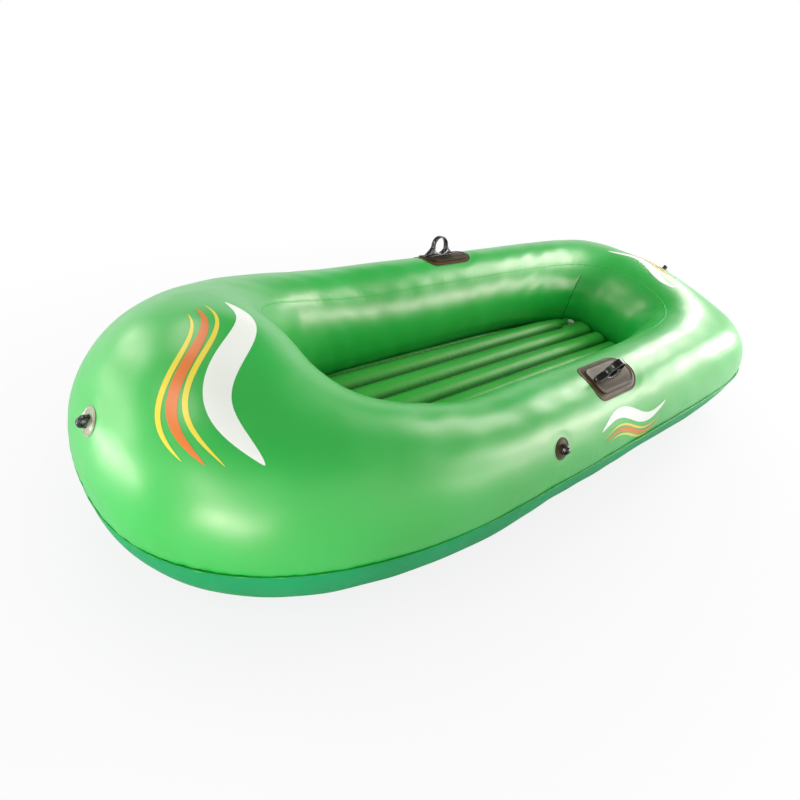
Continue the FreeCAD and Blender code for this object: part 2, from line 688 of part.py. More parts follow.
side_eye = (dim("side_eye_station"), dim("side_eye_elevation"))
EYES = (
    ("bow", (BOW, dim("bow_eye_elevation")), OUTWARD),
    ("stern", (STERN, dim("stern_eye_elevation")), OUTWARD),
    ("port", skin_spot(*side_eye, 1), FORWARD),
    ("starboard", skin_spot(*side_eye, -1), FORWARD),
)
for name, spot, along in EYES:
    disc = Part.Face(Part.Wire(Part.Circle(Vector(), UP, dim("eye_patch_radius")).toShape()))
    feature(f"rope_patch_{name}", conformal(disc, spot, along, dim("weld_gap"), dim("film")))
    top = local_hull(spot, 2 * dim("eye_radius"), dim("film"))
    rope_eye(f"rope_eye_{name}", skin_frame(spot, along), hidden(f"patch_top_{name}", top))


# ---------------------------------------------------------------- check and write

doc.recompute()
faults = [item.Name for item in doc.Objects if {"Invalid", "Error"} & set(item.State)]
for item in PARTS:
    if item.Shape.isNull() or not item.Shape.isValid() or not item.Shape.Solids:
        faults.append(item.Label)
if faults:
    raise SystemExit(f"not written, these failed: {faults}")

os.makedirs("parts", exist_ok=True)
for item in PARTS:
    item.Shape.exportStep(f"parts/{item.Label}.step")
    print(f"{item.Label}: {len(item.Shape.Solids)} solid(s), {item.Shape.Volume / 1000:.2f} cm3",
          flush=True)
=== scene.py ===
"""The looks of a small inflatable boat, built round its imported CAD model. Metres, +X to the bow."""
import math

import bpy
import numpy as np
from mathutils import Matrix, Vector


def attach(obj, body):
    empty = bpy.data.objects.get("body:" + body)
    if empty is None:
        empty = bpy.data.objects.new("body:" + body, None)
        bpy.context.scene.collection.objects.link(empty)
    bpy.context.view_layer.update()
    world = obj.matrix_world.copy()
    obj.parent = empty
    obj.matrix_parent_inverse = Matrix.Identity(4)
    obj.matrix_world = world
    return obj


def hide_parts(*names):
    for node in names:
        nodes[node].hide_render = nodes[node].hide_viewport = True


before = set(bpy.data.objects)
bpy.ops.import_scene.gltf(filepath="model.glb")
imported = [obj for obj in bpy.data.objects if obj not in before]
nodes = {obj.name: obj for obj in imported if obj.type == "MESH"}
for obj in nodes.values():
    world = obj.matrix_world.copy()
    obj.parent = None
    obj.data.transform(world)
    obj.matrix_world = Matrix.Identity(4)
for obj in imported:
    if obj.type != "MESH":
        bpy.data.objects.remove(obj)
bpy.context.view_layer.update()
RANDOM = np.random.default_rng(7)

# ---------------------------------------------------------------- the hull's form, as in the CAD

WIDEST = 0.236
OUTER = dict(bow=0.714, stern=1.186, half_width=0.375, bow_power=2.4, stern_power=8.5)
COCKPIT = dict(bow=0.325, stern=0.850, half_width=0.150, bow_power=2.9, stern_power=4.2)
SIDE_HEIGHT, BOW_HEIGHT, STERN_HEIGHT = 0.300, 0.422, 0.336
SEAM_HEIGHT = 0.1515
RIM_ELEVATION = math.radians(127)
CORNER_ANGLE = math.radians(141)
CORNER_LOW, CORNER_HIGH = math.radians(195), math.radians(142)
STERN_CORNER = math.radians(150)
FLOOR_CREST, RIB_PITCH, RIB_DEPTH, RIB_COUNT = 0.110, 0.056, 0.017, 7
RIB_SHIFT = (RIB_COUNT % 2) / 2 * RIB_PITCH
FLOOR_VALVE = np.array([-0.556, -0.084, 0.109])
PANEL_START = -0.505


def outline(angle, form):
    """Points of a plan outline: a superellipse with its own reach and power at each end."""
    along, across = np.cos(angle), np.sin(angle)
    reach = np.where(along > 0, form["bow"], form["stern"])
    power = np.where(along > 0, form["bow_power"], form["stern_power"])
    size = (np.abs(along) ** power + np.abs(across) ** power) ** (-1 / power)
    return np.stack([WIDEST + reach * along * size, form["half_width"] * across * size,
                     np.zeros_like(angle)], -1)


def section(angle):
    """The tube's section at plan angles: centre, outward direction, half width, half height."""
    outer, inner = outline(angle, OUTER), outline(angle, COCKPIT)
    to_bow, to_stern = np.maximum(np.cos(angle), 0), np.maximum(-np.cos(angle), 0)
    height = (SIDE_HEIGHT + (BOW_HEIGHT - SIDE_HEIGHT) * to_bow ** 2
              + (STERN_HEIGHT - SIDE_HEIGHT) * to_stern ** 4)
    outward = outer - inner
    length = np.linalg.norm(outward, axis=-1)
    centre = (outer + inner) / 2
    centre[..., 2] = height / 2
    return centre, outward / length[..., None], length / 2, height / 2


def skin(angle, elevation):
    """Points of the tube's skin."""
    angle, elevation = np.broadcast_arrays(angle, elevation)
    centre, outward, half_width, half_height = section(angle)
    point = centre + outward * (half_width * np.cos(elevation))[..., None]
    point[..., 2] += half_height * np.sin(elevation)
    return point


def skin_normal(angle, elevation):
    """Outward unit normals of the tube's skin."""
    step = 1e-4
    along = skin(angle + step, elevation) - skin(angle - step, elevation)
    around = skin(angle, elevation + step) - skin(angle, elevation - step)
    normal = np.cross(along, around)
    return normal / np.linalg.norm(normal, axis=-1, keepdims=True)


def skin_slopes(angle, tilt, step):
    """How the skin's points move with the plan angle and with the section angle."""
    here = skin(angle, tilt)
    return (skin(angle + step, tilt) - here) / step, (skin(angle, tilt + step) - here) / step


def square_matrix(a, b, c, d):
    """Stacked 2 x 2 matrices [[a, b], [c, d]]."""
    return np.stack([np.stack([a, b], -1), np.stack([c, d], -1)], -2)


def even_angles(count):
    """Plan angles that step evenly along the middle of the tube."""
    fine = np.linspace(-math.pi, math.pi, 7201)
    line = (outline(fine, OUTER) + outline(fine, COCKPIT)) / 2
    run = np.r_[0, np.cumsum(np.linalg.norm(np.diff(line, axis=0), axis=1))]
    return np.interp(np.arange(count) * run[-1] / count, run, fine)


def skin_spot(x, elevation, side):
    """The spot (plan angle, section angle) where the skin has one x, on one side."""
    low, high, tilt = 0.0, math.pi, math.radians(elevation)
    for _ in range(40):
        middle = (low + high) / 2
        ahead = skin(np.array([middle]), np.array([tilt]))[0, 0] > x
        low, high = (middle, high) if ahead else (low, middle)
    return side * low, tilt


class Seat:
    """A place on the skin with its own axes: z along the normal and x near to a heading."""

    def __init__(self, spot, heading):
        self.spot = spot
        self.base = skin(np.array([spot[0]]), np.array([spot[1]]))[0]
        self.z = skin_normal(np.array([spot[0]]), np.array([spot[1]]))[0]
        self.y = np.cross(self.z, heading)
        self.y /= np.linalg.norm(self.y)
        self.x = np.cross(self.y, self.z)

    def spots(self, a, b):
        """The spots of the skin that lie under local coordinates, by Newton's method."""
        angle, tilt = np.full(a.shape, self.spot[0]), np.full(a.shape, self.spot[1])
        step = 1e-5
        for _ in range(9):
            here = skin(angle, tilt)
            off = np.stack([a - (here - self.base) @ self.x, b - (here - self.base) @ self.y], -1)
            by_angle, by_tilt = skin_slopes(angle, tilt, step)
            slopes = square_matrix(by_angle @ self.x, by_tilt @ self.x,
                                   by_angle @ self.y, by_tilt @ self.y)
            change = np.clip(np.linalg.solve(slopes, off[..., None])[..., 0], -0.2, 0.2)
            angle, tilt = angle + change[..., 0], tilt + change[..., 1]
        return angle, tilt

    def world(self, local):
        """Rigid local coordinates as points of the frame."""
        local = np.asarray(local)
        return (self.base + local[..., :1] * self.x + local[..., 1:2] * self.y
                + local[..., 2:3] * self.z)

    def far(self, points, half_x, half_y):
        """0 inside an ellipse round the seat, rising smoothly to 1 outside it."""
        along, across = (points - self.base) @ self.x, (points - self.base) @ self.y
        deep = (points - self.base) @ self.z
        reach = np.sqrt((along / half_x) ** 2 + (across / half_y) ** 2 + (deep / half_x) ** 2)
        share = np.clip((reach - 1) / 0.35, 0, 1)
        return share * share * (3 - 2 * share)


FORWARD, OUTWARD = np.array([1.0, 0, 0]), np.array([0, 1.0, 0])
PATCH_STATION, STRAP_LEAD, OARLOCK_TILT = -0.075, 0.018, 78
SIDES = (("port", 1), ("starboard", -1))
PATCH_SEATS = {name: Seat(skin_spot(PATCH_STATION, OARLOCK_TILT, side), FORWARD)
               for name, side in SIDES}
STRAP_SEATS = {name: Seat(skin_spot(PATCH_STATION + STRAP_LEAD, OARLOCK_TILT, side), FORWARD)
               for name, side in SIDES}
EYE_SEATS = {"bow": Seat((0.0, math.radians(18)), OUTWARD),
             "stern": Seat((math.pi, math.radians(62)), OUTWARD),
             "port": Seat(skin_spot(0.173, 34, 1), FORWARD),
             "starboard": Seat(skin_spot(0.173, 34, -1), FORWARD)}
HULL_VALVE_SEAT = Seat(skin_spot(-0.430, 180, 1), FORWARD)


# ---------------------------------------------------------------- mesh helpers

def mesh_object(name, points, faces, body, material):
    """A smooth-shaded mesh piece that rides with a body."""
    mesh = bpy.data.meshes.new(name)
    mesh.from_pydata(np.asarray(points, float).reshape(-1, 3).tolist(), [], faces)
    mesh.validate()
    mesh.shade_smooth()
    piece = bpy.data.objects.new(name, mesh)
    bpy.context.scene.collection.objects.link(piece)
    mesh.materials.append(material)
    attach(piece, body)
    return piece


def grid_faces(rows, columns, close_rows=False, close_columns=False):
    """Quads over a grid of points stored row by row."""
    row = np.arange(rows if close_rows else rows - 1)[:, None]
    column = np.arange(columns if close_columns else columns - 1)[None, :]
    next_row, next_column = (row + 1) % rows, (column + 1) % columns
    quads = np.stack(np.broadcast_arrays(row * columns + column, next_row * columns + column,
                                         next_row * columns + next_column,
                                         row * columns + next_column), -1)
    return quads.reshape(-1, 4).tolist()


def cap_faces(rings, sides, start=0):
    """The two end faces of a tube of points stored ring by ring."""
    last = start + (rings - 1) * sides
    return [list(range(start, start + sides)), list(range(last, last + sides))[::-1]]


def wall_faces(upper, lower):
    """Quads between two closed runs of point indices."""
    return np.stack([upper, lower, np.roll(lower, -1), np.roll(upper, -1)], -1).tolist()


def grid_rim(rows, columns):
    """The point indices once round the rim of a grid stored row by row."""
    inner = np.arange(1, rows - 1) * columns
    return np.concatenate([np.arange(columns), inner + columns - 1,
                           ((rows - 1) * columns + np.arange(columns))[::-1], inner[::-1]])


def with_bar(points, faces, bar):
    """A piece's points and faces with a capped bar added, which is given as rings of points."""
    rings, sides = bar.shape[:2]
    start = len(points)
    faces = faces + [[k + start for k in face] for face in grid_faces(rings, sides, False, True)]
    return np.concatenate([points, bar.reshape(-1, 3)]), faces + cap_faces(rings, sides, start)


def turns(count):
    """Angles that step evenly once round."""
    return np.arange(count) * 2 * math.pi / count


def eased(count):
    """Shares from 0 to 1 that lie closer together near both ends."""
    return (1 - np.cos(np.linspace(0, math.pi, count))) / 2


def waves(run, lap, count, longest, shortest, lap_waves=4):
    """A smooth seeded unevenness over a closed tube: run and lap go from 0 to 1."""
    total = np.zeros(np.broadcast(run, lap).shape)
    for _ in range(count):
        k = RANDOM.integers(longest, shortest)
        m = RANDOM.integers(-lap_waves, lap_waves + 1)
        total += math.sqrt(1 / count) * np.cos(
            2 * math.pi * (k * run + m * lap) + RANDOM.uniform(0, 2 * math.pi))
    return total


# ---------------------------------------------------------------- materials

def srgb(red, green, blue):
    """A colour written in 8-bit sRGB, as Blender's linear values."""
    values = [channel / 255 for channel in (red, green, blue)]
    return [v / 12.92 if v <= 0.04045 else ((v + 0.055) / 1.055) ** 2.4 for v in values] + [1]


def new_material(name, **sockets):
    """A Principled material with the named sockets set: material, node tree, shader."""
    material = bpy.data.materials.new(name)
    material.use_nodes = True
    shader = material.node_tree.nodes["Principled BSDF"]
    for socket, value in sockets.items():
        shader.inputs[socket.replace("_", " ")].default_value = value
    return material, material.node_tree, shader


def node(tree, kind, **settings):
    """A new node, with its inputs or its own settings given by name."""
    made = tree.nodes.new(kind)
    for key, value in settings.items():
        if key in made.inputs.keys():
            made.inputs[key].default_value = value
        else:
            setattr(made, key, value)
    return made


def noise(tree, scale, detail, rough):
    """A noise texture in object space: its value."""
    made = node(tree, "ShaderNodeTexNoise", Scale=scale, Detail=detail, Roughness=rough)
    place = tree.nodes.new("ShaderNodeTexCoord")
    tree.links.new(place.outputs["Object"], made.inputs["Vector"])
    return made.outputs["Fac"]


def ramp(tree, source, stops):
    """A colour ramp over a value: its colour."""
    made = tree.nodes.new("ShaderNodeValToRGB")
    elements = made.color_ramp.elements
    while len(elements) < len(stops):
        elements.new(0.5)
    for element, (place, colour) in zip(elements, stops):
        element.position, element.color = place, colour
    tree.links.new(source, made.inputs["Fac"])
    return made.outputs["Color"]


def grey(value):
    """A grey as a colour, for ramps that carry a plain value."""
    return (value, value, value, 1)


GRAIN_DEPTH = 0.0004
# the values of the noise at which a film shows its dark and its light end
DRIFT_ENDS = (0.3, 0.7)


def film(name, dark, light, rough=(0.26, 0.36), bump=0.12, grain=900, patch=5.0, **sockets):
    """Welded film: colour that drifts slowly, a fine grain, and uneven gloss."""
    material, tree, shader = new_material(name, **sockets)
    colour = ramp(tree, noise(tree, patch, 2.0, 0.4), list(zip(DRIFT_ENDS, (dark, light))))
    tree.links.new(colour, shader.inputs["Base Color"])
    gloss = ramp(tree, noise(tree, patch * 6, 4.0, 0.6), list(zip(DRIFT_ENDS, map(grey, rough))))
    tree.links.new(gloss, shader.inputs["Roughness"])
    relief = node(tree, "ShaderNodeBump", Strength=bump, Distance=GRAIN_DEPTH)
    tree.links.new(noise(tree, grain, 2.0, 0.6), relief.inputs["Height"])
    tree.links.new(relief.outputs["Normal"], shader.inputs["Normal"])
    return material


# tints of the films' highlights
ROSY, AMBER = (1, 0.6, 0.65, 1), (1, 0.86, 0.66, 1)
WELD_FINISH = dict(rough=(0.3, 0.45), bump=0.3, grain=1400)
PRINT_FINISH = dict(rough=(0.3, 0.42), bump=0.25, grain=800, Coat_Weight=0.15, Coat_Roughness=0.2)
HULL_GREEN = film("hull_green_film", srgb(14, 176, 60), srgb(30, 186, 74), rough=(0.32, 0.40),
                  Specular_IOR_Level=1.0, Specular_Tint=ROSY, Coat_Weight=0.5, Coat_Roughness=0.36)
RIM_GREEN = film("rim_weld_film", srgb(16, 178, 62), srgb(34, 188, 76), rough=(0.32, 0.42),
                 bump=0.2, grain=1400, Specular_IOR_Level=0.9, Specular_Tint=ROSY)
WELD_GREEN = film("weld_green_film", srgb(10, 140, 48), srgb(24, 156, 58), **WELD_FINISH)
CORNER_GREEN = film("corner_weld_film", srgb(8, 104, 38), srgb(18, 120, 48), **WELD_FINISH)
FLOOR_GREEN = film("floor_green_film", srgb(34, 164, 50), srgb(62, 176, 64), rough=(0.34, 0.44),
                   Specular_IOR_Level=0.4, Specular_Tint=(1, 0.75, 0.6, 1))
BOTTOM_GREEN = film("bottom_green_film", srgb(8, 146, 84), srgb(16, 160, 96),
                    rough=(0.4, 0.55), bump=0.35, grain=500, Specular_IOR_Level=0.25)


def paint_valley_shade(material):
    """Painted shade: the mattress's film is coloured darker down into the welded valleys between its
    ribs.
    """
    tree = material.node_tree
    shader = tree.nodes["Principled BSDF"]
    shown = shader.inputs["Base Color"].links[0].from_socket
    split = tree.nodes.new("ShaderNodeSeparateXYZ")
    tree.links.new(tree.nodes.new("ShaderNodeTexCoord").outputs["Object"], split.inputs[0])
    shifted = node(tree, "ShaderNodeMath", operation="ADD")
    tree.links.new(split.outputs["Y"], shifted.inputs[0])
    shifted.inputs[1].default_value = RIB_SHIFT
    gap = node(tree, "ShaderNodeMath", operation="PINGPONG")
    tree.links.new(shifted.outputs[0], gap.inputs[0])
    gap.inputs[1].default_value = RIB_PITCH / 2
    # painted shade: a darker green blended in from each valley's weld up the sides of the ribs
    share = ramp(tree, gap.outputs[0], [(0.001, grey(0.0)), (0.009, grey(0.8)), (0.02, grey(1.0))])
    deep = ramp(tree, noise(tree, 9.0, 2.0, 0.5),
                list(zip(DRIFT_ENDS, (srgb(10, 92, 28), srgb(18, 104, 36)))))
    mix = tree.nodes.new("ShaderNodeMixRGB")
    tree.links.new(share, mix.inputs["Fac"])
    tree.links.new(deep, mix.inputs["Color1"])
    tree.links.new(shown, mix.inputs["Color2"])
    tree.links.new(mix.outputs[0], shader.inputs["Base Color"])


# the floor's film gets painted shade in the valleys between its ribs
paint_valley_shade(FLOOR_GREEN)
SMOKY = film("smoky_patch_film", srgb(56, 42, 16), srgb(78, 60, 26), rough=(0.34, 0.46),
             bump=0.1, grain=500, patch=6, Specular_IOR_Level=0.3, Specular_Tint=AMBER)
SMOKY_DARK = film("smoky_plinth_plastic", srgb(44, 32, 11), srgb(66, 49, 20),
                  rough=(0.34, 0.46), bump=0.06, grain=300, patch=8, Specular_IOR_Level=0.3,
                  Specular_Tint=AMBER)
LOOP_BLACK = film("smoky_loop_plastic", srgb(18, 17, 13), srgb(36, 33, 26), rough=(0.12, 0.26),
                  bump=0.12, grain=260, patch=60, Coat_Weight=0.6, Coat_Roughness=0.06)
EYE_BLACK = film("black_eye_plastic", srgb(10, 11, 9), srgb(24, 25, 21), rough=(0.15, 0.3),
                 bump=0.15, grain=500, patch=90, Coat_Weight=0.5, Coat_Roughness=0.08)
CLEAR = film("clear_valve_plastic", srgb(206, 214, 208), srgb(228, 234, 228), rough=(0.15, 0.3),
             bump=0.2, grain=700, patch=60, Transmission_Weight=0.25, IOR=1.49)
CLEAR_GREEN = film("clear_green_valve_film", srgb(40, 150, 60), srgb(70, 168, 84),
                   rough=(0.2, 0.32), bump=0.2, grain=700, patch=40, Transmission_Weight=0.5,
                   IOR=1.4)
CLEAR_SMOKE = film("clear_smoky_film", srgb(104, 116, 76), srgb(150, 156, 116),
                   rough=(0.3, 0.45), bump=0.3, grain=420, patch=40, Transmission_Weight=0.15,
                   IOR=1.4, Specular_IOR_Level=0.3)
WEB_WHITE = film("web_film", srgb(200, 206, 200), srgb(216, 220, 216), rough=(0.5, 0.6))
PRINT_WHITE = film("print_white", srgb(232, 236, 226), srgb(242, 245, 237), **PRINT_FINISH)
PRINT_YELLOW = film("print_yellow", srgb(226, 206, 52), srgb(238, 218, 70), **PRINT_FINISH)
PRINT_ORANGE = film("print_orange", srgb(214, 112, 40), srgb(228, 128, 50), **PRINT_FINISH)

# ---------------------------------------------------------------- the hull's skin

RUNS, LAPS = 720, 208
# depths of the film's relief in metres, and how far each reaches from its weld
SEAM_PUCKER, SEAM_PUCKER_REACH, SEAM_PULL_REACH = 0.0011, 0.022, 0.0030
RIM_PUCKER, RIM_PUCKER_REACH, RIM_PULL, RIM_PULL_REACH = 0.0003, 0.018, 0.0012, 0.0040
CORNER_PUCKER, CORNER_PUCKER_REACH, CORNER_PULL, CORNER_PULL_REACH = 0.0012, 0.05, 0.0022, 0.004
# puckers start at the weld and reach their full depth this far from it
WELD_FLAT = 0.004
SLOW_SWELL, QUICK_SWELL = 0.0011, 0.0004


def crease(distance, width):
    """A pulled-in weld line: 1 on the line, with a cusp, fading over a width."""
    return np.exp(-np.abs(distance) / width)


def hull_relief(angle, elevation, run, lap):
    """How far the inflated film stands off the plain form, in metres along its normal."""
    centre, _, half_width, half_height = section(angle)
    point_z = centre[..., 2] + half_height * np.sin(elevation)
    on_outside = np.cos(elevation) > 0
    # the curve of the outline gathers the film beside each weld
    bow = np.clip(np.cos(angle), 0, 1) ** 2
    stern_corner = np.exp(-((np.abs(angle) - STERN_CORNER) / 0.30) ** 2)
    gather = 0.25 + 0.6 * bow + 1.0 * stern_corner
    off_seam = np.where(on_outside, np.abs(point_z - SEAM_HEIGHT), 1.0)
    pucker = (waves(run, lap * 0, 26, 90, 210, 0) * np.exp(-off_seam / SEAM_PUCKER_REACH)
              * np.minimum(off_seam / WELD_FLAT, 1))
    relief = SEAM_PUCKER * gather * pucker
    relief -= (0.0007 + 0.0012 * stern_corner) * crease(off_seam, SEAM_PULL_REACH)
    # rim weld
    off_rim = np.abs(elevation - RIM_ELEVATION) * np.hypot(half_height, half_width) * 0.75
    at_end = 0.1 + 0.75 * bow + 0.4 * stern_corner
    relief -= RIM_PULL * at_end * crease(off_rim, RIM_PULL_REACH)
    rim_pucker = waves(run, lap * 0, 22, 80, 190, 0) * np.exp(-off_rim / RIM_PUCKER_REACH)
    relief += (RIM_PUCKER * (0.3 + stern_corner + 0.6 * bow) * rim_pucker
               * np.minimum(off_rim / WELD_FLAT, 1))
    # upright welds in the cockpit's stern corners
    off_corner = np.abs(np.abs(angle) - CORNER_ANGLE) * 0.55
    inside = 1 / (1 + np.exp((CORNER_HIGH - elevation) / 0.03)) \
        / (1 + np.exp((elevation - CORNER_LOW - 0.3) / 0.05))
    relief -= CORNER_PULL * crease(off_corner, CORNER_PULL_REACH) * inside
    relief += (CORNER_PUCKER * inside * np.exp(-off_corner / CORNER_PUCKER_REACH)
               * waves(run * 0, lap, 9, 0, 1, 26))
    # slow unevenness of a soft tube
    relief += (SLOW_SWELL * waves(run, lap, 22, 2, 14, 3)
               + QUICK_SWELL * waves(run, lap, 26, 16, 44, 9))
    # fittings are welded where the film is flat
    plain = skin(angle, elevation)
    for seat in PATCH_SEATS.values():
        relief *= seat.far(plain, 0.096, 0.052)
    for seat in EYE_SEATS.values():
        relief *= seat.far(plain, 0.028, 0.028)
    return relief * HULL_VALVE_SEAT.far(plain, 0.023, 0.023)


angles = even_angles(RUNS)[:, None]
elevations = turns(LAPS)[None, :]
angle_grid, elevation_grid = np.broadcast_arrays(angles, elevations)
run_share = np.broadcast_to(np.arange(RUNS)[:, None] / RUNS, angle_grid.shape)
lap_share = elevation_grid / (2 * math.pi)
relief = hull_relief(angle_grid, elevation_grid, run_share, lap_share)
points = skin(angle_grid, elevation_grid) + skin_normal(angle_grid, elevation_grid) * relief[..., None]
points[..., 2] = np.maximum(points[..., 2], 0.0)
hull_skin = mesh_object("hull_skin", points, grid_faces(RUNS, LAPS, True, True), "boat", HULL_GREEN)
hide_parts("hull_chamber")
# the bottom panel, below the seam, is of another film
low_points = (points[:, :, 2] < SEAM_HEIGHT) & (np.cos(elevation_grid) > -0.55)
low_faces = low_points & np.roll(low_points, -1, 0) & np.roll(low_points, -1, 1)
hull_skin.data.materials.append(BOTTOM_GREEN)
hull_skin.data.polygons.foreach_set("material_index", low_faces.astype(np.int32).ravel())


def on_skin(angle, tilt, lift):
    """Points over the finished skin, relief and all, raised by lift."""
    angle = (angle + math.pi) % (2 * math.pi) - math.pi
    order = angles[:, 0]
    row = np.interp(angle, np.r_[order, order[0] + 2 * math.pi], np.arange(RUNS + 1))
    column = (tilt / (2 * math.pi) % 1) * LAPS
    r0, c0 = np.floor(row).astype(int), np.floor(column).astype(int)
    fr, fc = (row - r0)[..., None], (column - c0)[..., None]
    r0, c0 = r0 % RUNS, c0 % LAPS
    r1, c1 = (r0 + 1) % RUNS, (c0 + 1) % LAPS
    flat = ((points[r0, c0] * (1 - fr) + points[r1, c0] * fr) * (1 - fc)
            + (points[r0, c1] * (1 - fr) + points[r1, c1] * fr) * fc)
    return flat + skin_normal(angle, tilt) * np.asarray(lift)[..., None]


# ---------------------------------------------------------------- welded strips on the hull

STRIP = 2400
strip_angles = even_angles(STRIP)
strip_run = np.arange(STRIP) / STRIP
FLANGE_REACH, FLANGE_HALF = 0.0064, 0.0005


def seam_flange():
    """The outer flange: two films pressed together, with a wavy free edge."""
    centre, outward, _, half_height = section(strip_angles)
    seam_elevation = np.arcsin((SEAM_HEIGHT - centre[:, 2]) / half_height)
    flutter = waves(strip_run, 0 * strip_run, 40, 60, 260, 0) * 0.0006 * (
        0.4 + np.clip(np.cos(strip_angles), 0, 1) ** 2
        + np.exp(-((np.abs(strip_angles) - STERN_CORNER) / 0.30) ** 2))
    root = skin(strip_angles, seam_elevation)
    # the free edge stands out at the stern and is trimmed close round the bow
    stand = 0.25 + 0.75 / (1 + np.exp((0.15 - centre[:, 0]) * -9))
    rows = []
    for reach, lift, share in ((-0.003, FLANGE_HALF, 0), (0.0035, FLANGE_HALF, 0.5),
                               (0.0062, 0.0004, 1), (FLANGE_REACH, 0.0, 1), (0.0062, -0.0004, 1),
                               (0.0035, -FLANGE_HALF, 0.5), (-0.003, -FLANGE_HALF, 0)):
        row = root + outward * (np.where(reach > 0, reach * stand, reach)[:, None])
        row[:, 2] += lift + flutter * share
        rows.append(row)
    piece = mesh_object("seam_flange", np.stack(rows, 1), grid_faces(STRIP, len(rows), True, True),
                        "boat", WELD_GREEN)
    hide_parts("outer_seam")


seam_flange()


def weld_line(name, line_angle, line_tilt, half, lift, replaced, material, closed=True):
    """A welded line that lies on the finished skin: a low rounded bead with a flat back."""
    place = skin(line_angle, line_tilt)
    along = (np.roll(place, -1, 0) - np.roll(place, 1, 0)) if closed else np.gradient(place, axis=0)
    along /= np.linalg.norm(along, axis=1, keepdims=True)
    by_angle, by_tilt = skin_slopes(line_angle, line_tilt, 1e-3)
    across = np.cross(skin_normal(line_angle, line_tilt), along)
    mixed = (by_angle * by_tilt).sum(1)
    slopes = square_matrix((by_angle ** 2).sum(1), mixed, mixed, (by_tilt ** 2).sum(1))
    pull = np.linalg.solve(slopes, np.stack([(by_angle * across).sum(1),
                                             (by_tilt * across).sum(1)], -1)[..., None])[..., 0]
    rows = []
    for share, height in ((-1, -0.5), (-1, 0.1), (-0.8, 0.8), (-0.4, 1), (0, 0.75), (0.4, 1),
                          (0.8, 0.8), (1, 0.1), (1, -0.5)):
        rows.append(on_skin(line_angle + pull[:, 0] * share * half,
                            line_tilt + pull[:, 1] * share * half,
                            height * lift + np.zeros(len(line_angle))))
    faces = grid_faces(len(line_angle), len(rows), closed, True)
    if not closed:
        faces += cap_faces(len(line_angle), len(rows))
    piece = mesh_object(name, np.stack(rows, 1), faces, "boat", material)
    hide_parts(replaced)


weld_line("rim_weld_strip", strip_angles, np.full(STRIP, RIM_ELEVATION), 0.0024,
          0.00014 + 0.0005 * np.exp(-((np.abs(strip_angles) - STERN_CORNER) / 0.35) ** 2),
          "rim_weld", RIM_GREEN)
corner_line = np.linspace(CORNER_HIGH, CORNER_LOW, 80)
for name, side in SIDES:
    weld_line(f"corner_weld_{name}", np.full(len(corner_line), side * CORNER_ANGLE), corner_line,
              0.0016, 0.0004 * np.minimum(np.linspace(0, 3, len(corner_line)), 1),
              f"inner_wall_weld_{name}", CORNER_GREEN, closed=False)

# ---------------------------------------------------------------- floor and bottom

FLOOR_ROWS, FLOOR_COLUMNS, FLOOR_DROPS = 420, 241, 6
FLOOR_EDGE_HEIGHT, FLOOR_BASE = 0.100, 0.002
EDGE_ROLL, EDGE_FALL = 0.020, 0.016
VALVE_FLAT = 0.024
VALLEY_WELD = 0.0008
GATHERS, GATHER_DEPTH, GATHER_REACH = 30, 0.0006, 0.008
SHEET_ROWS, SHEET_COLUMNS, SHEET_EDGE_HEIGHT = 160, 61, 0.0013
END_GAP, LEAST_WIDTH = 0.001, 0.002
# plan angles of one side, bow to stern
HALF_TURN = np.linspace(0, math.pi, 2000)


def floor_edge(angle, z, gap=0.0012):
    """Where the tube's inner face stands at one height, less a gap."""
    centre, outward, half_width, half_height = section(angle)
    drop = np.clip(np.abs(z - centre[:, 2]) / (half_height + gap), 0, 1)
    return centre - outward * ((half_width + gap) * np.sqrt(1 - drop ** 2))[:, None]


def floor_half_width(x, z):
    """Half the floor's width at stations x."""
    edge = floor_edge(HALF_TURN, z)
    order = np.argsort(edge[:, 0])
    return np.interp(x, edge[order, 0], edge[order, 1])


def floor_ends(z):
    """The lowest and highest x between the tube's inner faces at one height."""
    line = floor_edge(HALF_TURN, z)[:, 0]
    return line.min() + END_GAP, line.max() - END_GAP


def rib_height(y):
    """The ribs' rounded tops, with a narrow flat weld in every valley."""
    phase = (y + RIB_SHIFT) / RIB_PITCH % 1.0
    half, radius = RIB_PITCH / 2, ((RIB_PITCH / 2) ** 2 + RIB_DEPTH ** 2) / (2 * RIB_DEPTH)
    across = (phase - 0.5) * RIB_PITCH
    arc = np.sqrt(np.maximum(radius ** 2 - across ** 2, 0)) - (radius - RIB_DEPTH)
    return np.maximum(arc, VALLEY_WELD)


x_low, x_high = floor_ends(FLOOR_EDGE_HEIGHT)
x = x_low + (x_high - x_low) * (0.25 * eased(FLOOR_ROWS) + 0.75 * np.linspace(0, 1, FLOOR_ROWS))
width = np.maximum(floor_half_width(x, FLOOR_EDGE_HEIGHT), LEAST_WIDTH)
across = np.linspace(-1, 1, FLOOR_COLUMNS)
yy = width[:, None] * across[None, :]
xx = np.broadcast_to(x[:, None], yy.shape)
edge_gap = np.minimum((1 - np.abs(across[None, :])) * width[:, None],
                      np.minimum(xx - x_low, x_high - xx) * 0.9)
fall = np.clip(1 - edge_gap / EDGE_ROLL, 0, 1)
on_panel = np.clip((PANEL_START - xx) / 0.006 + 0.5, 0, 1)
on_panel = on_panel * np.clip((RIB_PITCH / 2 - np.abs(yy - FLOOR_VALVE[1])) / 0.004 + 1, 0, 1)
ribs = rib_height(yy)
zz = FLOOR_CREST - RIB_DEPTH + ribs + on_panel * (FLOOR_VALVE[2] - FLOOR_CREST + RIB_DEPTH - ribs)
near_valve = np.hypot(xx - FLOOR_VALVE[0], yy - FLOOR_VALVE[1]) < VALVE_FLAT
zz -= np.where(near_valve, 0, EDGE_FALL * fall ** 2)
valley_gap = np.abs(((yy + RIB_SHIFT) / RIB_PITCH + 0.5) % 1.0 - 0.5) * RIB_PITCH
along_share = np.broadcast_to(np.linspace(0, 1, FLOOR_ROWS)[:, None], yy.shape)
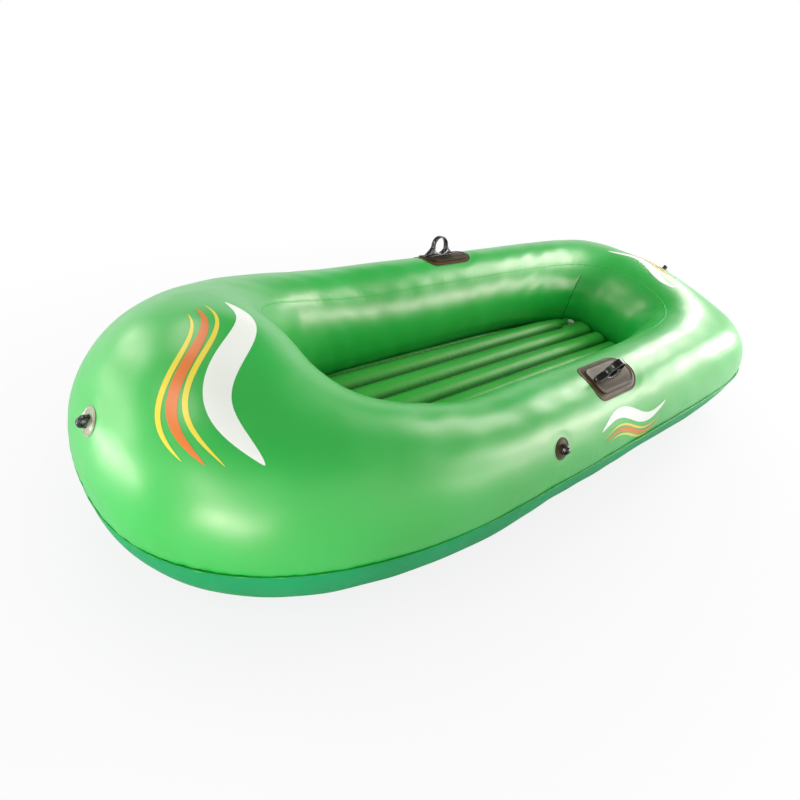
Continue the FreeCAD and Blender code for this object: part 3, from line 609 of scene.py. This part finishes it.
rib_index = np.floor((yy + RIB_SHIFT) / RIB_PITCH)
gathers = np.zeros_like(zz)
for _ in range(GATHERS):
    gathers += np.cos(2 * math.pi * RANDOM.integers(30, 130) * along_share + RANDOM.uniform(0, 6.28)
                      + rib_index * RANDOM.uniform(0, 6.28)) / math.sqrt(GATHERS)
zz += (GATHER_DEPTH * gathers * np.exp(-valley_gap / GATHER_REACH)
       * np.minimum(valley_gap / 0.002, 1) * (1 - on_panel))
top_points = np.stack([xx, yy, zz], -1).reshape(-1, 3)
# the sides drop straight to the flat bottom, out of sight under the tube
rim = grid_rim(FLOOR_ROWS, FLOOR_COLUMNS)
rings, faces = [], grid_faces(FLOOR_ROWS, FLOOR_COLUMNS)
upper = rim
for number, share in enumerate(np.linspace(1, 0, FLOOR_DROPS + 1)[1:]):
    ring = top_points[rim]
    ring[:, 2] = FLOOR_BASE + (ring[:, 2] - FLOOR_BASE) * share
    rings.append(ring)
    lower = len(top_points) + number * len(rim) + np.arange(len(rim))
    faces += wall_faces(upper, lower)
    upper = lower
faces.append(upper.tolist())
floor_skin = mesh_object("floor_skin", np.concatenate([top_points] + rings), faces, "boat",
                         FLOOR_GREEN)
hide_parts("floor_mattress")

# bottom sheet: a thin film with a slight ripple
x_low, x_high = floor_ends(SHEET_EDGE_HEIGHT)
x = x_low + (x_high - x_low) * eased(SHEET_ROWS)
width = np.maximum(floor_half_width(x, SHEET_EDGE_HEIGHT) - END_GAP, LEAST_WIDTH)
yy = width[:, None] * np.linspace(-1, 1, SHEET_COLUMNS)[None, :]
xx = np.broadcast_to(x[:, None], yy.shape)
ripple = 0.0003 + 0.0003 * waves(xx, yy, 14, 2, 9, 5) * 0.5
sheet_points = np.concatenate([
    np.stack([xx, yy, np.clip(ripple + 0.0004, 0.0005, 0.001)], -1).reshape(-1, 3),
    np.stack([xx, yy, np.clip(ripple, 0, 0.0004)], -1).reshape(-1, 3)])
top_faces = grid_faces(SHEET_ROWS, SHEET_COLUMNS)
under = SHEET_ROWS * SHEET_COLUMNS
rim = grid_rim(SHEET_ROWS, SHEET_COLUMNS)
faces = top_faces + [[k + under for k in face[::-1]] for face in top_faces]
faces += wall_faces(rim, rim + under)
bottom_skin = mesh_object("bottom_skin", sheet_points, faces, "boat", BOTTOM_GREEN)
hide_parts("bottom_sheet")

# ---------------------------------------------------------------- printed waves

BAND_STEPS, BAND_ROWS, PRINT_LIFT = 180, 9, 0.0004
# each band's tag, place across, half width and gap at its ends, as shares, and its colour
WAVE_BANDS = (("white", 0.20, 0.125, 0.0, PRINT_WHITE), ("gold", -0.06, 0.026, 0.04, PRINT_YELLOW),
              ("orange", -0.17, 0.050, 0.07, PRINT_ORANGE),
              ("lemon", -0.28, 0.026, 0.12, PRINT_YELLOW))


def print_band(name, seat, line, half_width, material):
    """A printed band on the skin, with round tapered ends. line(s) gives (along, across)."""
    shares = eased(BAND_STEPS)
    along, across = line(shares)
    slope = np.stack([np.gradient(along), np.gradient(across)], -1)
    slope /= np.linalg.norm(slope, axis=1, keepdims=True)
    spread = half_width(shares)[:, None] * np.linspace(-1, 1, BAND_ROWS)[None, :]
    angle, tilt = seat.spots(along[:, None] - slope[:, 1:] * spread,
                             across[:, None] + slope[:, :1] * spread)
    piece = mesh_object(name, on_skin(angle, tilt, np.full(angle.shape, PRINT_LIFT)),
                        grid_faces(BAND_STEPS, BAND_ROWS), "boat", material)


def wave_print(label, spot, heading, length, height, phase):
    """Flowing bands side by side: a broad white one, then yellow, orange and yellow lines."""
    seat = Seat(spot, np.array([math.cos(heading), math.sin(heading), 0]))
    for tag, shift, thick, ends, material in WAVE_BANDS:
        def line(share, shift=shift, ends=ends):
            place = ends + (1 - 2 * ends) * share
            swing = np.sin(2 * math.pi * place + phase)
            return (place - 0.5) * length, height * (shift + 0.20 * swing)

        def half_width(share, thick=thick):
            return height * thick * (0.02 + 0.98 * np.sin(math.pi * share) ** 0.7)

        print_band(f"print_{label}_{tag}", seat, line, half_width, material)


wave_print("bow", (math.radians(16), math.radians(72)), math.radians(74), 0.30, 0.17, 0.4)
wave_print("port", skin_spot(-0.12, 22, 1), math.pi, 0.29, 0.105, 0.0)
wave_print("starboard", skin_spot(-0.12, 22, -1), 0.0, 0.29, 0.105, 0.0)
wave_print("stern", (math.radians(-174), math.radians(88)), -math.pi / 2, 0.26, 0.13, 0.6)

# ---------------------------------------------------------------- welded pads and moulded lugs

def shield(half_length, half_width):
    """The outline of an oarlock's patch: a bowed front, long sides and a round aft end."""
    steps, bow = 18, 0.006
    corner = half_width * 0.5
    shoulder = half_width - half_length
    quarter = np.linspace(0, math.pi / 2, steps)
    middle = np.stack([np.full(steps, half_length),
                       np.linspace(0, half_width - corner, steps + 1)[:-1]], -1)
    front = np.stack([half_length - corner + corner * np.sin(quarter[::-1]),
                      half_width - corner + corner * np.cos(quarter[::-1])], -1)
    side = np.stack([np.linspace(half_length - corner, shoulder, steps)[1:],
                     np.full(steps - 1, half_width)], -1)
    aft = np.stack([shoulder - half_width * np.sin(quarter), half_width * np.cos(quarter)], -1)[1:]
    half = np.concatenate([middle, front, side, aft])
    # the front bows forward: its corners lie a little aft of its middle
    half[:, 0] -= np.where(half[:, 0] > 0, bow * (half[:, 1] / half_width) ** 2
                           * half[:, 0] / half_length, 0)
    return np.concatenate([half, (half * [1, -1])[::-1][1:-1]])


def disc(radius, steps=96):
    """Points round a circle."""
    turn = turns(steps)
    return radius * np.stack([np.cos(turn), np.sin(turn)], -1)


def pad(name, seat, outline_at, profile, material, replaced):
    """A pad that lies on the skin. profile holds (inset from the edge, height) pairs."""
    rows = []
    for inset, height in profile:
        edge = outline_at(inset)
        angle, tilt = seat.spots(edge[:, 0], edge[:, 1])
        rows.append(skin(angle, tilt) + skin_normal(angle, tilt) * height)
    count = len(rows[0])
    faces = grid_faces(len(rows), count, False, True) + cap_faces(len(rows), count)[::-1]
    piece = mesh_object(name, np.stack(rows), faces, "boat", material)
    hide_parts(replaced)


def squarish(value, power=0.55):
    """A sine or cosine turned towards a rounded square's."""
    return np.sign(value) * np.abs(value) ** power


def bored_lug(name, seat, bore_along, bore, height, outer_line, width, foot, material,
              replaced):
    """A moulded lug round a bore. outer_line(angles) gives its outside, seen along the bore."""
    turn, loop = turns(160), turns(28)
    reach, swell = outer_line(turn)
    middle, half = (reach + bore) / 2, (reach - bore) / 2
    radius = middle[:, None] + half[:, None] * squarish(np.cos(loop))[None, :]
    sideways = width / 2 * squarish(np.sin(loop))[None, :] * swell[:, None]
    across, up = radius * np.cos(turn)[:, None], height + radius * np.sin(turn)[:, None]
    local = np.stack([sideways, across, up] if bore_along == "x" else [across, sideways, up], -1)
    points = seat.world(local).reshape(-1, 3)
    faces = grid_faces(len(turn), len(loop), True, True)
    if foot:
        half_foot, foot_width, low, top = foot
        stations, lap = np.sin(np.linspace(-math.pi / 2, math.pi / 2, 61)), turns(24)
        end = np.sqrt(np.clip(1 - np.abs(stations) ** 6, 0, 1))
        taper = 1 - 0.25 * stations ** 2
        bar = np.stack([
            np.broadcast_to((stations * half_foot)[:, None], (len(stations), len(lap))),
            foot_width / 2 * squarish(np.cos(lap))[None, :] * (taper * (0.25 + 0.75 * end))[:, None],
            (low + (top - low) * 0.5 * (1 + squarish(np.sin(lap))[None, :])
             * (0.25 + 0.75 * end * taper ** 2)[:, None])], -1)
        points, faces = with_bar(points, faces, seat.world(bar))
    piece = mesh_object(name, points, faces, "boat", material)
    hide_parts(replaced)


def bell(crown, height, base, flare, drop_power=1.9):
    """The outline of a lug: a round crown over legs that flare down to the base."""
    drop = np.linspace(0, height - base, 60)
    side = crown + flare * (drop / drop[-1]) ** drop_power
    slope = np.arctan2(-drop, side)
    size = np.hypot(drop, side)

    def outer_line(turn):
        down = (turn + math.pi) % (2 * math.pi) - math.pi
        folded = np.where(np.abs(down) <= math.pi / 2, down, np.sign(down) * math.pi - down)
        reach = np.interp(-folded, -slope, size)
        under = -folded > -slope[-1]
        reach = np.where(under, (height - base) / np.maximum(np.sin(np.abs(folded)), 1e-6), reach)
        reach = np.where(folded >= 0, crown, reach)
        return reach, 1 + 0.12 * np.clip(-np.sin(turn), 0, 1)

    return outer_line


# profiles of the welded pads: (inset from the edge, height over the skin)
PATCH_PROFILE = ((0.0200, 0.0001), (0.0000, 0.0001), (0.0000, 0.0006), (0.0004, 0.0010),
                 (0.0012, 0.0012), (0.0040, 0.0012), (0.0050, 0.0006), (0.0056, 0.0006),
                 (0.0066, 0.0012), (0.0120, 0.0012), (0.0200, 0.0011), (0.0455, 0.0011))
PLINTH_PROFILE = ((0.0200, 0.0006), (0.0000, 0.0008), (0.0000, 0.0026), (0.0003, 0.0036),
                  (0.0010, 0.0043), (0.0022, 0.0046), (0.0038, 0.0044), (0.0052, 0.0036),
                  (0.0075, 0.0033), (0.0130, 0.0034), (0.0200, 0.0037), (0.0325, 0.0038))
DISC_PROFILE = ((0.0120, 0.0001), (0.0000, 0.0001), (0.0000, 0.0006), (0.0004, 0.0010),
                (0.0010, 0.0012), (0.0026, 0.0012), (0.0034, 0.0006), (0.0040, 0.0006),
                (0.0048, 0.0012), (0.0100, 0.0014), (0.0150, 0.0020), (0.0215, 0.0024))
PATCH_HALF, PLINTH_HALF, EYE_PATCH_RADIUS = (0.090, 0.046), (0.077, 0.033), 0.0225
OAR_BORE, OAR_BORE_HEIGHT, OAR_BORE_CROWN = 0.022, 0.031, 0.0268
ROPE_BORE, ROPE_BORE_HEIGHT, ROPE_BORE_CROWN = 0.0042, 0.0082, 0.0096
EYE_FILMS = {"bow": CLEAR_SMOKE, "stern": SMOKY, "port": SMOKY, "starboard": SMOKY}
for name, _ in SIDES:
    pad(f"oarlock_film_{name}", PATCH_SEATS[name],
        lambda inset: shield(PATCH_HALF[0] - inset, PATCH_HALF[1] - inset), PATCH_PROFILE, SMOKY,
        f"oarlock_patch_{name}")
    pad(f"oarlock_base_{name}", PATCH_SEATS[name],
        lambda inset: shield(PLINTH_HALF[0] - inset, PLINTH_HALF[1] - inset), PLINTH_PROFILE,
        SMOKY_DARK, f"oarlock_plinth_{name}")
    bored_lug(f"oarlock_strap_{name}", STRAP_SEATS[name], "y", OAR_BORE, OAR_BORE_HEIGHT,
              bell(OAR_BORE_CROWN, OAR_BORE_HEIGHT, 0.0046, 0.029, 1.5), 0.0152,
              (0.056, 0.0165, 0.0025, 0.0074), LOOP_BLACK, f"oarlock_loop_{name}")
for name, seat in EYE_SEATS.items():
    pad(f"rope_film_{name}", seat, lambda inset: disc(EYE_PATCH_RADIUS - inset), DISC_PROFILE,
        EYE_FILMS[name], f"rope_patch_{name}")
    bored_lug(f"rope_lug_{name}", seat, "x", ROPE_BORE, ROPE_BORE_HEIGHT,
              bell(ROPE_BORE_CROWN, ROPE_BORE_HEIGHT, 0.0006, 0.0014), 0.0090, None, EYE_BLACK,
              f"rope_eye_{name}")

# ---------------------------------------------------------------- valves

# profiles of the turned pieces: (radius, height over the wall)
TUBE_PROFILE = (
    (0.0050, -0.018), (0.0080, -0.018), (0.0080, 0.0003), (0.0200, 0.0002), (0.0200, 0.0008),
    (0.0194, 0.0012), (0.0170, 0.0012), (0.0164, 0.0008), (0.0158, 0.0012), (0.0100, 0.0013),
    (0.0086, 0.0020), (0.0080, 0.0030), (0.0080, 0.0046), (0.0076, 0.0050), (0.0054, 0.0050),
    (0.0050, 0.0046))
TETHER_PROFILE = ((0.0080, 0.0031), (0.0098, 0.0031), (0.0102, 0.0035), (0.0102, 0.0043),
                  (0.0098, 0.0047), (0.0080, 0.0047))
CAP_PROFILE = (
    (0.0001, 0.0000), (0.0036, 0.0000), (0.0041, 0.0005), (0.0047, 0.0053), (0.0080, 0.0053),
    (0.0085, 0.0058), (0.0085, 0.0066), (0.0080, 0.0071), (0.0060, 0.0069), (0.0045, 0.0071),
    (0.0001, 0.0071))
FLAP_PROFILE = ((0.0001, -0.0191), (0.0068, -0.0191), (0.0070, -0.0189), (0.0070, -0.0185),
                (0.0068, -0.0183), (0.0001, -0.0183))
# straps out to the tether: (start, end, half width, underside, top)
TETHER_STRAP = (0.0092, 0.0140, 0.0025, 0.0031, 0.0047)
CAP_STRAP = (0.0070, 0.0140, 0.0025, 0.0053, 0.0071)


def lathe(name, axes, profile, body, replaced, material, strap=None):
    """A turned piece: profile holds (radius, height) pairs. strap adds a bar out to the tether."""
    base, x_axis, y_axis, z_axis = axes
    ring = disc(1.0, 64)
    rows = [base + (ring[:, :1] * x_axis + ring[:, 1:] * y_axis) * radius + z_axis * height
            for radius, height in profile]
    bored = profile[0][0] > 0.0002
    faces = grid_faces(len(rows), len(ring), bored, True)
    points = np.concatenate(rows)
    if strap:
        start_x, end_x, half, low, top = strap
        lap, shares = turns(16), np.linspace(0, 1, 9)
        shape = (len(shares), len(lap))
        along = np.broadcast_to((start_x + (end_x - start_x) * shares)[:, None], shape)
        across = np.broadcast_to(half * squarish(np.cos(lap), 0.6)[None, :], shape)
        up = np.broadcast_to(((low + top) / 2 + (top - low) / 2
                              * squarish(np.sin(lap), 0.6))[None, :], shape)
        bar = (base + along[..., None] * x_axis + across[..., None] * y_axis
               + up[..., None] * z_axis)
        points, faces = with_bar(points, faces, bar)
    piece = mesh_object(name, points, faces, body, material)
    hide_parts(replaced)


VALVE_AXES = {
    "hull": (HULL_VALVE_SEAT.base, HULL_VALVE_SEAT.x, HULL_VALVE_SEAT.y, HULL_VALVE_SEAT.z),
    "floor": (FLOOR_VALVE, FORWARD, OUTWARD, np.array([0, 0, 1.0]))}
STEM_FILMS = {"hull": CLEAR, "floor": CLEAR_GREEN}
for owner, axes in VALVE_AXES.items():
    valve = f"{owner}_valve"
    lathe(f"{valve}_tube", axes, TUBE_PROFILE, "boat", f"{valve}_stem", STEM_FILMS[owner])
    lathe(f"{valve}_tether", axes, TETHER_PROFILE, "boat", f"{valve}_tether_ring", CLEAR,
          strap=TETHER_STRAP)
    lathe(f"{valve}_cap", axes, CAP_PROFILE, f"{owner}_stopper", f"{valve}_stopper", CLEAR,
          strap=CAP_STRAP)
    lathe(f"{valve}_flap", axes, FLAP_PROFILE, f"{owner}_flap", f"{valve}_check_flap", CLEAR)
nodes["floor_webs"].data.materials.clear()
nodes["floor_webs"].data.materials.append(WEB_WHITE)

# ---------------------------------------------------------------- stage, lights and camera

# the even light that the backdrop sheds on diffuse surfaces
FILL = 0.60
WHITE = (1, 1, 1, 1)
FLOOR_RADIUS, FLOOR_SINK = 40, 0.0005
# the floor's distance from the boat counts this many times across as along
SQUEEZE = 2.2
# horizon and top of the backdrop as the height of the view's direction, and its light at the top
HORIZON, OVERHEAD, TOP_LIGHT = 0.25, 0.45, 0.12


def ranged(tree, source, low, high, start, end):
    """A value carried from one range to another, held at the ends."""
    made = tree.nodes.new("ShaderNodeMapRange")
    for socket, value in (("From Min", low), ("From Max", high), ("To Min", start), ("To Max", end)):
        made.inputs[socket].default_value = value
    tree.links.new(source, made.inputs["Value"])
    return made.outputs["Result"]


def math_of(tree, operation, first, second):
    """The outcome of a math node on two linked values."""
    made = node(tree, "ShaderNodeMath", operation=operation)
    tree.links.new(first, made.inputs[0])
    tree.links.new(second, made.inputs[1])
    return made.outputs[0]


def mixed_surface(tree, share, first, second, output):
    """Links two shaders, mixed by a share, to an output's surface."""
    mix = tree.nodes.new("ShaderNodeMixShader")
    tree.links.new(share, mix.inputs["Fac"])
    tree.links.new(first.outputs[0], mix.inputs[1])
    tree.links.new(second.outputs[0], mix.inputs[2])
    tree.links.new(mix.outputs[0], tree.nodes[output].inputs["Surface"])


bpy.ops.mesh.primitive_circle_add(vertices=96, radius=FLOOR_RADIUS, fill_type="NGON",
                                  location=(0, 0, -FLOOR_SINK))
ground = bpy.context.object
ground.name = "studio_floor"
material, tree, shader = new_material("studio_floor", Base_Color=grey(0.6), Roughness=0.9,
                                      Specular_IOR_Level=0.1)
glow = node(tree, "ShaderNodeEmission", Strength=1.0)
path = tree.nodes.new("ShaderNodeLightPath")
place = tree.nodes.new("ShaderNodeTexCoord")
squeeze = node(tree, "ShaderNodeVectorMath", operation="MULTIPLY")
tree.links.new(place.outputs["Object"], squeeze.inputs[0])
squeeze.inputs[1].default_value = (1.0, SQUEEZE, 0)
reach = node(tree, "ShaderNodeVectorMath", operation="LENGTH")
tree.links.new(squeeze.outputs[0], reach.inputs[0])
# the floor is seen as white, with some of its own shading and shadow left near the boat, and
# glossy rays see it white only further out
seen = math_of(tree, "MULTIPLY", math_of(tree, "MAXIMUM", path.outputs["Is Camera Ray"],
                                         path.outputs["Is Transmission Ray"]),
               ranged(tree, reach.outputs["Value"], 0.9, 2.2, 0.84, 1.0))
mirrored = math_of(tree, "MULTIPLY", path.outputs["Is Glossy Ray"],
                   ranged(tree, reach.outputs["Value"], 1.6, 3.6, 0.0, 1.0))
mixed_surface(tree, math_of(tree, "MAXIMUM", seen, mirrored), shader, glow, "Material Output")
ground.data.materials.append(material)

# the backdrop is white up to a little over the horizon and dims overhead
world = bpy.data.worlds.new("studio")
bpy.context.scene.world = world
world.use_nodes = True
tree = world.node_tree
backdrop = tree.nodes["Background"]
backdrop.inputs["Color"].default_value = WHITE
backdrop.inputs["Strength"].default_value = FILL
shown = node(tree, "ShaderNodeBackground", Color=WHITE)
split = tree.nodes.new("ShaderNodeSeparateXYZ")
tree.links.new(tree.nodes.new("ShaderNodeTexCoord").outputs["Generated"], split.inputs[0])
tree.links.new(ranged(tree, split.outputs["Z"], HORIZON, OVERHEAD, 1.0, TOP_LIGHT),
               shown.inputs["Strength"])
path = tree.nodes.new("ShaderNodeLightPath")
seen = math_of(tree, "MAXIMUM", path.outputs["Is Camera Ray"],
               math_of(tree, "MAXIMUM", path.outputs["Is Glossy Ray"],
                       path.outputs["Is Transmission Ray"]))
mixed_surface(tree, seen, backdrop, shown, "World Output")

MIDDLE = (0, 0, 0.2)
LAMP_DISTANCE = 2.6


def softbox(name, location, target, size, watts):
    """A rectangular lamp turned to a target and unseen by the camera."""
    lamp = bpy.data.lights.new(name, "AREA")
    lamp.shape = "RECTANGLE"
    lamp.size, lamp.size_y = size
    lamp.energy = watts
    holder = bpy.data.objects.new(name, lamp)
    bpy.context.scene.collection.objects.link(holder)
    holder.location = location
    holder.visible_camera = False
    holder.rotation_euler = (Vector(target) - Vector(location)).to_track_quat("-Z", "Y").to_euler()


def around(bearing, height):
    """A place round the boat: degrees from the bow towards port, and degrees above MIDDLE."""
    turn, rise = math.radians(bearing), math.radians(height)
    return (LAMP_DISTANCE * math.cos(turn) * math.cos(rise),
            LAMP_DISTANCE * math.sin(turn) * math.cos(rise),
            MIDDLE[2] + LAMP_DISTANCE * math.sin(rise))


for name, bearing, height, size, watts in (
        ("stern_softbox", 175, 34, (1.1, 0.8), 22.4),
        ("stern_corner_softbox", -169, 23, (0.5, 0.4), 7.7),
        ("stern_low_softbox", 160, 12, (0.6, 0.4), 11),
        ("quarter_softbox", 136, 15, (0.8, 0.5), 15),
        ("port_low_softbox", 122, 3, (1.0, 0.3), 6),
        ("port_bow_low_softbox", 34, 4, (1.0, 0.4), 5.2),
        ("bow_low_softbox", -24, 4, (1.5, 0.4), 6.9),
        ("bow_high_softbox", 1, 34, (0.7, 0.5), 6.9),
        ("starboard_high_softbox", -60, 46, (1.2, 0.8), 12),
        ("starboard_bow_softbox", -46, 18, (0.9, 0.5), 8.6)):
    softbox(name, around(bearing, height), MIDDLE, size, watts)
softbox("bow_strip", (1.5, -0.1, 0.08), (0.95, 0.02, 0.25), (0.5, 0.12), 2.1)
softbox("port_bow_strip", (1.146, 0.651, 0.08), (0.76, 0.19, 0.28), (0.36, 0.12), 1.7)

# the camera: its place, turn and lens come from the photograph's view of the boat
CAMERA_PLACE = (1.19924, 0.75513, 0.98791)
yaw, pitch, roll = -2.39751, -0.41751, 0.29108
forward = Vector((math.cos(yaw) * math.cos(pitch), math.sin(yaw) * math.cos(pitch), math.sin(pitch)))
right = Vector((math.sin(yaw), -math.cos(yaw), 0))
up = right.cross(forward)
across_view = math.cos(roll) * right + math.sin(roll) * up
up_view = -math.sin(roll) * right + math.cos(roll) * up
lens = bpy.data.cameras.new("camera")
lens.sensor_width = 36
lens.lens = 28.408
lens.shift_x, lens.shift_y = -0.00835, -0.17829
camera = bpy.data.objects.new("camera", lens)
bpy.context.scene.collection.objects.link(camera)
turn = Matrix((across_view, up_view, -forward)).transposed()
camera.matrix_world = Matrix.Translation(CAMERA_PLACE) @ turn.to_4x4()
bpy.context.scene.camera = camera
bpy.context.scene.view_settings.view_transform = "Standard"
